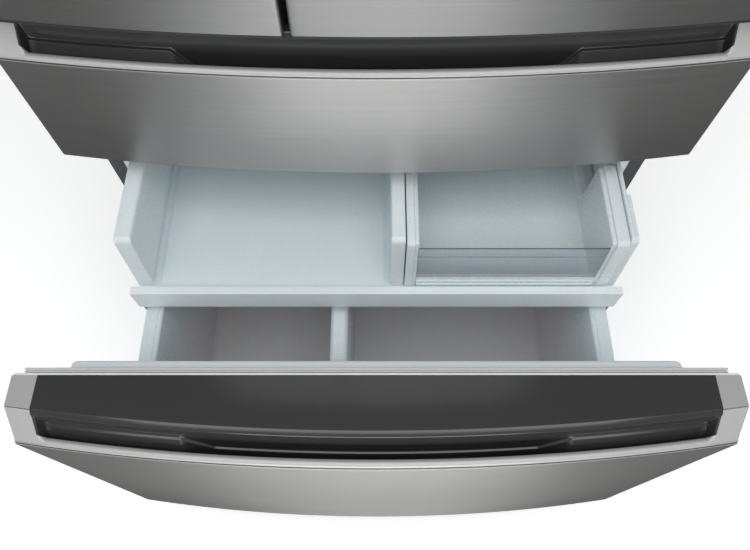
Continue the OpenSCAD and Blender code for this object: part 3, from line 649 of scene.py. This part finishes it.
def upper_tray():
    """Sliding tray: side walls, centre wall, coved floor, rear wall, runners and the front bar."""
    shell = Shell()
    y0, y1, top = tray_lo.y + 13 * MM, tray_hi.y, tray_hi.z
    half = TRAY_HALF
    layers = [(-half, 2), (-half + 0.6 * MM, 0.7), (-half + 2 * MM, 0), (-half + 20.5 * MM, 0.2),
              (-half + 22.5 * MM, 0.9), (-half + 24.2 * MM, 2.4), (-half + 25 * MM, 5)]
    layered_wall(shell, layers, y0, y1, top, TRAY_FOOT)
    layers = [(half, 2), (half - 0.6 * MM, 0.7), (half - 2 * MM, 0), (half - 6 * MM, 0)]
    layered_wall(shell, layers[::-1], y0, y0 + RIGHT_BAND, top, TRAY_FOOT)
    layers = [(half - 5.4 * MM, 2), (half - 6 * MM, 0.7), (half - 7 * MM, 0.3), (half - 9.6 * MM, 0.3),
              (half - 10.6 * MM, 0.9), (half - 11 * MM, 2)]
    layered_wall(shell, layers[::-1], y0, y1, top, TRAY_FOOT)
    a, b = CENTRE_WALL
    layers = [(a, 2), (a + 0.6 * MM, 0.7), (a + 2 * MM, 0), (b - 2 * MM, 0), (b - 0.6 * MM, 0.7), (b, 2)]
    layered_wall(shell, layers, y0, y1, top, TRAY_FOOT)
    floor_y = tray_lo.y + 8.5 * MM
    shell.block((-half + 1 * MM, floor_y, TRAY_FOOT), (half - 1 * MM, y1 - 1 * MM, TRAY_FOOT + 3 * MM))
    for side in (-1, 1):
        edge = sorted((side * (half - 3 * MM), side * (half + 10 * MM)))
        shell.block((edge[0], floor_y, tray_lo.z), (edge[1], y1, tray_lo.z + 3 * MM))
        edge = sorted((side * (half - 3 * MM), side * half))
        shell.block((edge[0], floor_y, tray_lo.z + 1 * MM), (edge[1], y1, TRAY_FOOT + 1 * MM))
    shell.block((-half + 1 * MM, y1 - 3 * MM, TRAY_FOOT), (a + 1 * MM, y1, top - 20 * MM))
    shell.block((b - 1 * MM, y1 - 3 * MM, TRAY_FOOT), (half - 1 * MM, y1, TRAY_FOOT + REAR_RISE))
    cove_r = 10 * MM
    for x, sign in ((-half + 25 * MM, 1), (a, -1)):
        ends = []
        for y in (y0 + 2 * MM, y1 - 3 * MM):
            curve = arc((x + sign * cove_r, TRAY_FOOT + 3 * MM + cove_r), cove_r,
                        270 if sign > 0 else -90, 180 if sign > 0 else 0, 6)
            foot = [(x - sign * 1 * MM, TRAY_FOOT + 2 * MM), (x + sign * cove_r, TRAY_FOOT + 2 * MM)]
            ends.append([(px, y, pz) for px, pz in foot + curve + [(x - sign * 1 * MM, curve[-1][1])]])
        shell.loft(ends)
    make("upper_tray_moulding", shell, "bin_plastic", "upper_tray", "upper_tray", bevel=0.6 * MM,
         sharp=45)
    bar = Shell()
    lo = (tray_lo.x, tray_lo.y - 5 * MM, tray_lo.z - 1 * MM)
    hi = (tray_hi.x, tray_lo.y + 8.5 * MM, tray_lo.z + 45.5 * MM)
    section = [(lo[1] + 1 * MM, lo[2]), (hi[1], lo[2]), (hi[1], hi[2]), (lo[1] + 0.6 * MM, hi[2]),
               (lo[1] + 0.1 * MM, hi[2] - 0.5 * MM), (lo[1], hi[2] - 1.2 * MM), (lo[1], lo[2] + 1.2 * MM)]
    bar.loft([[(x, y, z) for y, z in section] for x in (lo[0], hi[0])])
    make("upper_tray_bar", bar, "bar_plastic", "upper_tray", bevel=0.5 * MM)


def ice_bin():
    """Ice bin: light side walls and rails, with a clear front window."""
    lo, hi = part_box("ice_bin")
    shell = Shell()
    rear_top = TRAY_FOOT + REAR_RISE
    lean = 10 * MM

    def outline(n):
        r = 8 * MM
        line = [(lo.y + n, lo.z)] + arc((lo.y + lean + r, hi.z - r), r - n, 173, 90, 5)
        line += arc((lo.y + HIGH_BIN - r, hi.z - r), r - n, 90, 0, 5)
        line += arc((lo.y + HIGH_BIN + 6 * MM, rear_top + 6 * MM - n), 6 * MM, 180, 270, 4)
        return line + [(hi.y, rear_top - n), (hi.y, lo.z)]

    for x, sign, wide in ((lo.x, 1, 11), (hi.x, -1, 18)):
        layers = [(0, 2), (0.6, 0.7), (1.6, 0), (wide, 0), (wide + 0.6, 0.9), (wide + 1, 3),
                  (wide + 5, 3.4), (wide + 6.4, 4.2), (wide + 7, 6)]
        loops = [[(x + sign * d * MM, y, z) for y, z in outline(n * MM)] for d, n in layers]
        shell.loft(loops)
    inner = (lo.x + 17.6 * MM, hi.x - 24.6 * MM)
    shell.block((inner[0], lo.y + 2 * MM, lo.z), (inner[1], hi.y, lo.z + 3 * MM))
    shell.block((inner[0], hi.y - 3 * MM, lo.z), (inner[1], hi.y, rear_top))
    for i, (height, depth) in enumerate(((8, 0), (16, 4), (23, 8))):
        foot = lo.z + (0 if i == 0 else 7 * MM)
        shell.block((inner[0], lo.y + 1 * MM + depth * MM * 0.5, foot),
                    (inner[1], lo.y + 14 * MM, lo.z + height * MM))
    make("ice_bin_moulding", shell, "bin_plastic", "upper_tray", "ice_bin", bevel=0.5 * MM, sharp=45)
    pane, edge = Shell(), Shell()
    rise = hi.z - lo.z
    window_top = lo.z + 95 * MM

    def slab(target, z0, z1, front, back):
        ring = []
        for z, depth in ((z0, front), (z1, front), (z1, back), (z0, back)):
            ring.append((lo.y + lean * (z - lo.z) / rise + depth * MM, z))
        target.loft([[(x, y, z) for y, z in ring] for x in inner])

    slab(pane, lo.z + 20 * MM, window_top, 3.4, 5)
    slab(pane, window_top - 22 * MM, window_top - 21 * MM, 4.8, 7)
    slab(edge, window_top, window_top + 0.7 * MM, 3.6, 4.6)
    make("ice_bin_window", pane, "clear_plastic", "upper_tray", bevel=0.4 * MM)
    make("ice_bin_window_edge", edge, "dark_plastic", "upper_tray", bevel=0.2 * MM)


upper_tray()
ice_bin()

# ---- baskets, bins and slides ------------------------------------------------------------


def hanging_bin(node, body):
    """A deep bin with a rolled rim, and flanges that rest on the slides."""
    lo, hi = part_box(node)
    shell = Shell()
    wall_x = hi.x - 27 * MM
    tub(shell, (-wall_x, lo.y, lo.z), (wall_x, hi.y, hi.z), 3 * MM, 14 * MM, 12 * MM, 5 * MM)
    flange = Shell()
    flange.block((wall_x - 2 * MM, lo.y, hi.z - 4 * MM), (hi.x - 8 * MM, hi.y, hi.z))
    flange.block((hi.x - 9 * MM, lo.y, hi.z - 7 * MM), (hi.x, hi.y, hi.z - 3.4 * MM))
    flange.block((wall_x + 5 * MM, lo.y + 20 * MM, hi.z - 0.6 * MM),
                 (wall_x + 6.4 * MM, hi.y - 20 * MM, hi.z + 0.8 * MM))
    for i in range(6):
        y = lo.y + (hi.y - lo.y) * (i + 0.5) / 6
        flange.block((wall_x - 2 * MM, y - 1 * MM, hi.z - 22 * MM),
                     (wall_x + 12 * MM, y + 1 * MM, hi.z - 3 * MM))
    flange.mirrored()
    shift = len(shell.points)
    shell.points += flange.points
    shell.faces += [tuple(i + shift for i in face) for face in flange.faces]
    make(node + "_moulding", shell, "bin_plastic", body, node, bevel=0.5 * MM, sharp=45)


def divider():
    """Hollow divider of the freezer basket, with a rounded top."""
    lo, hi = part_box("basket_divider")
    r = 7 * MM
    ends = []
    for y, n in ((lo.y, 1.5 * MM), (lo.y + 1.5 * MM, 0), (hi.y - 1.5 * MM, 0), (hi.y, 1.5 * MM)):
        outer = arc((hi.x - r - n, hi.z - r - n), r, 0, 90, 5)
        outer += arc((lo.x + r + n, hi.z - r - n), r, 90, 180, 5)
        inner = [(x + (3 * MM if x < (lo.x + hi.x) / 2 else -3 * MM), z - 3 * MM) for x, z in outer]
        ring = [(hi.x - n, lo.z)] + outer + [(lo.x + n, lo.z), (lo.x + n + 3 * MM, lo.z)]
        ring += inner[::-1] + [(hi.x - n - 3 * MM, lo.z)]
        ends.append([(x, y, z) for x, z in ring])
    make("basket_divider_moulding", Shell().loft(ends), "bin_plastic", "freezer_drawer",
         "basket_divider", sharp=45)


hanging_bin("freezer_basket", "freezer_drawer")
hanging_bin("middle_bin", "middle_drawer")
divider()
refine("freezer_slides", "zinc", "freezer_drawer", 0.6 * MM)
refine("middle_slides", "zinc", "middle_drawer", 0.6 * MM)
refine("fixed_slides", "zinc", "cabinet", 0.6 * MM)

for crisper in ("crisper_left", "crisper_right"):
    c_lo, c_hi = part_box(crisper)
    box = tub(Shell(), c_lo, c_hi, 3 * MM, 16 * MM, 10 * MM, 4 * MM)
    middle = (c_lo.x + c_hi.x) / 2
    box.block((middle - 70 * MM, c_lo.y + 0.2 * MM, c_hi.z - 30 * MM),
              (middle + 70 * MM, c_lo.y + 7 * MM, c_hi.z - 24 * MM))
    make(crisper + "_clear", box, "clear_plastic", crisper, crisper, sharp=50)

# ---- cabinet -----------------------------------------------------------------------------


def room_liner(node, step=None):
    """Plastic liner of one compartment, with rounded corners, a flange behind the frame, and a step
    (y, z) over the machine space where there is one."""
    lo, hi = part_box(node)
    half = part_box("middle_liner")[1].x
    wall, outer = ROOM_HALF, ROOM_HALF + 3 * MM
    shell = Shell()
    z0, z1 = lo.z + 3 * MM, hi.z - 3 * MM
    y0, y1 = lo.y, hi.y - 3 * MM
    r = 26 * MM
    inside = [(0, y0), (0.6 * MM, y0 + 2 * MM), (2 * MM, y1 - r)]
    inside += [(2 * MM + r - a, b) for a, b in arc((0, y1 - r), r, 15, 90, 5)]
    loops = upright_loops((-wall, z0), (wall, z1), 18 * MM, inside)
    back = upright_loops((-outer, lo.z), (outer, hi.z), 20 * MM,
                         [(0, y0), (0, hi.y - r), (r, hi.y)])
    shell.loft(loops[::-1] + back)
    for x0, x1 in ((-half, -wall - 1 * MM), (wall + 1 * MM, half)):
        shell.block((x0, y0, z0), (x1, y0 + 3 * MM, z1))
    if step:
        shell.block((-wall - 1 * MM, step[0], z0 - 1 * MM), (wall + 1 * MM, y1 + 1 * MM, step[1]))
    return shell


STEP = (PLANE + 437 * MM, 250 * MM)
make("freezer_liner_moulding", room_liner("freezer_liner", STEP), "liner", "cabinet",
     "freezer_liner", sharp=50)
make("middle_liner_moulding", room_liner("middle_liner"), "liner", "cabinet", "middle_liner",
     sharp=50)

fresh = room_liner("fresh_liner")
arms_lo, arms_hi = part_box("shelf_arms")
panes_lo, panes_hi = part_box("glass_shelves")
cover_lo, cover_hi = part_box("crisper_cover")
SHELF_Z = (arms_lo.z + 20 * MM, arms_hi.z)
for ledge in (*SHELF_Z, cover_lo.z):
    for side in (-1, 1):
        low, high = sorted((side * (ROOM_HALF - 10 * MM), side * (ROOM_HALF + 0.5 * MM)))
        fresh.block((low, panes_lo.y + 10 * MM, ledge - 6 * MM), (high, panes_hi.y - 4 * MM, ledge))
make("fresh_liner_moulding", fresh, "liner", "cabinet", "fresh_liner", sharp=50)

# The fixed pieces whose CAD shape is right: node, finish and edge rounding in millimetres.
for node, look, width in (
        ("cabinet_shell", "case_paint", 1.2), ("back_panel", "case_paint", 0.8),
        ("front_frame", "case_paint", 0.8), ("base_pan", "zinc", 0.8), ("toe_grille", "dark_plastic", 0.8),
        ("machine_cover", "case_paint", 0.5), ("leveling_feet", "dark_plastic", 1.0),
        ("power_inlet", "dark_plastic", 0.8), ("compressor", "black_paint", 1.5),
        ("evaporator_cover", "liner", 1.0), ("fan_motor", "dark_plastic", 0.6), ("air_duct", "liner", 1.5),
        ("shelf_arms", "zinc", 0.6), ("control_panel", "black_gloss", 2.0), ("hinge_brackets", "zinc", 0.6),
        ("hinge_covers", "dark_plastic", 2.5), ("ice_maker", "fan_plastic", 3.0),
        ("glass_shelves", "shelf_glass", 0.8), ("crisper_cover", "shelf_glass", 0.8)):
    refine(node, look, "cabinet", width * MM, 3)
refine("roller_left", "dark_plastic", "roller_left", 1.5 * MM, 3)
refine("roller_right", "dark_plastic", "roller_right", 1.5 * MM, 3)
refine("fan_blade", "fan_plastic", "evaporator_fan", 0.4 * MM)
# Coils stay as they are in the CAD, with a finish of their own.
for node, look in (("condenser_coil", "black_paint"), ("evaporator", "fin_metal")):
    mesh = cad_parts[node].data
    mesh.materials.clear()
    mesh.materials.append(FINISHES[look])


def trims():
    """Plastic edges of the glass shelves and of the crisper cover."""
    shell = Shell()
    for z in SHELF_Z:
        for x0, x1 in ((panes_lo.x, -4 * MM), (4 * MM, panes_hi.x)):
            for y in (panes_lo.y, panes_hi.y - 14 * MM):
                shell.block((x0, y - 1 * MM, z - 3 * MM), (x1, y + 13 * MM, z + 8 * MM))
    shell.block((cover_lo.x, cover_lo.y - 1 * MM, cover_lo.z - 4 * MM),
                (cover_hi.x, cover_lo.y + 16 * MM, cover_hi.z + 2 * MM))
    make("shelf_trims", shell, "fan_plastic", "cabinet", bevel=1.6 * MM, segments=3)


def screws():
    """Hex washer head screws round the rear panel and the machine cover."""
    lo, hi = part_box("back_panel")
    washer = [(6 * MM, 0), (6 * MM, 1 * MM), (5.4 * MM, 1.4 * MM)]
    head = [(4 * MM, 0), (4 * MM, 3.4 * MM), (3.4 * MM, 4 * MM)]
    shell = Shell()
    rows = [lo.z + (hi.z - lo.z) * (i + 0.5) / 8 for i in range(8)]
    places = [(x, z) for x in (-443 * MM, 443 * MM) for z in rows]
    places += [(x * MM, z) for x in (-350, -120, 120, 350) for z in (hi.z - 12 * MM, lo.z - 12 * MM)]
    for x, z in places:
        shell.disc((x, hi.y - 0.3 * MM, z), (0, 1, 0), washer, 18)
        shell.disc((x, hi.y + 0.8 * MM, z), (0, 1, 0), head, 6)
    make("rear_screws", shell, "zinc", "cabinet", sharp=30)


trims()
screws()

# ---- stage, lights and camera ------------------------------------------------------------


def pale_floor():
    """White studio floor that glossy rays see darker, as the dark flags of a studio would be."""
    mesh = bpy.data.meshes.new("studio_floor")
    half = 9.0
    corners = [(-half, -half, 0), (half, -half, 0), (half, half, 0), (-half, half, 0)]
    mesh.from_pydata(corners, [], [(0, 1, 2, 3)])
    floor = bpy.data.objects.new("studio_floor", mesh)
    bpy.context.scene.collection.objects.link(floor)
    paper = bpy.data.materials.new("studio_paper")
    paper.use_nodes = True
    nodes, links = paper.node_tree.nodes, paper.node_tree.links
    shader = nodes["Principled BSDF"]
    shader.inputs["Roughness"].default_value = 0.9
    path = nodes.new("ShaderNodeLightPath")
    shade = nodes.new("ShaderNodeMix")
    shade.data_type = "RGBA"
    shade.inputs[6].default_value = (0.93, 0.93, 0.93, 1)
    shade.inputs[7].default_value = (0.09, 0.09, 0.09, 1)
    links.new(path.outputs["Is Glossy Ray"], shade.inputs[0])
    links.new(shade.outputs[2], shader.inputs["Base Color"])
    shader.inputs["Emission Color"].default_value = (1, 1, 1, 1)
    glow = nodes.new("ShaderNodeMapRange")
    glow.inputs["To Min"].default_value = 0.3
    glow.inputs["To Max"].default_value = 0.0
    links.new(path.outputs["Is Glossy Ray"], glow.inputs["Value"])
    links.new(glow.outputs["Result"], shader.inputs["Emission Strength"])
    mesh.materials.append(paper)


def soft_light(name, place, target, size, power):
    """A rectangular softbox aimed at a point."""
    data = bpy.data.lights.new(name, "AREA")
    data.shape = "RECTANGLE"
    data.size, data.size_y = size
    data.energy = power
    lamp = bpy.data.objects.new(name, data)
    lamp.location = place
    lamp.rotation_euler = (Vector(target) - Vector(place)).to_track_quat("-Z", "Y").to_euler()
    bpy.context.scene.collection.objects.link(lamp)


def studio():
    """Overhead and side softboxes, a narrow strip in front, and a dim room."""
    soft_light("overhead", (0, -1.5, 3.1), (0, -0.3, 0.4), (3.4, 2.5), 46)
    soft_light("left_fill", (-2.6, -1.2, 1.8), (0, -0.3, 0.5), (1.6, 2.2), 6)
    soft_light("right_fill", (2.6, -1.2, 1.8), (0, -0.3, 0.5), (1.6, 2.2), 6)
    soft_light("front_strip", (0, -2.4, 0.5), (0, -0.3, 0.45), (1.5, 0.9), 18.5)
    soft_light("rear_fill", (0, 3.2, 2.6), (0, 0.2, 0.8), (3.0, 2.0), 24)
    world = bpy.data.worlds.new("room")
    bpy.context.scene.world = world
    world.use_nodes = True
    nodes, links = world.node_tree.nodes, world.node_tree.links
    path = nodes.new("ShaderNodeLightPath")
    level = nodes.new("ShaderNodeMapRange")
    level.inputs["To Min"].default_value = 0.42
    level.inputs["To Max"].default_value = 0.13
    links.new(path.outputs["Is Glossy Ray"], level.inputs["Value"])
    links.new(level.outputs["Result"], nodes["Background"].inputs["Strength"])
    nodes["Background"].inputs["Color"].default_value = (0.98, 0.99, 1.0, 1)


def camera():
    """The photographer's place: close above the open drawer, looking steeply down."""
    data = bpy.data.cameras.new("camera")
    data.lens = 28.957
    data.sensor_width = 36
    data.shift_x = -0.0019
    data.shift_y = 0.0685
    data.clip_start = 0.02
    eye = bpy.data.objects.new("camera", data)
    eye.location = (0, -0.757, 1.3098)
    eye.rotation_euler = (math.radians(24.0055), 0, 0)
    bpy.context.scene.collection.objects.link(eye)
    bpy.context.scene.camera = eye


pale_floor()
studio()
camera()
bpy.context.scene.view_settings.view_transform = "Standard"
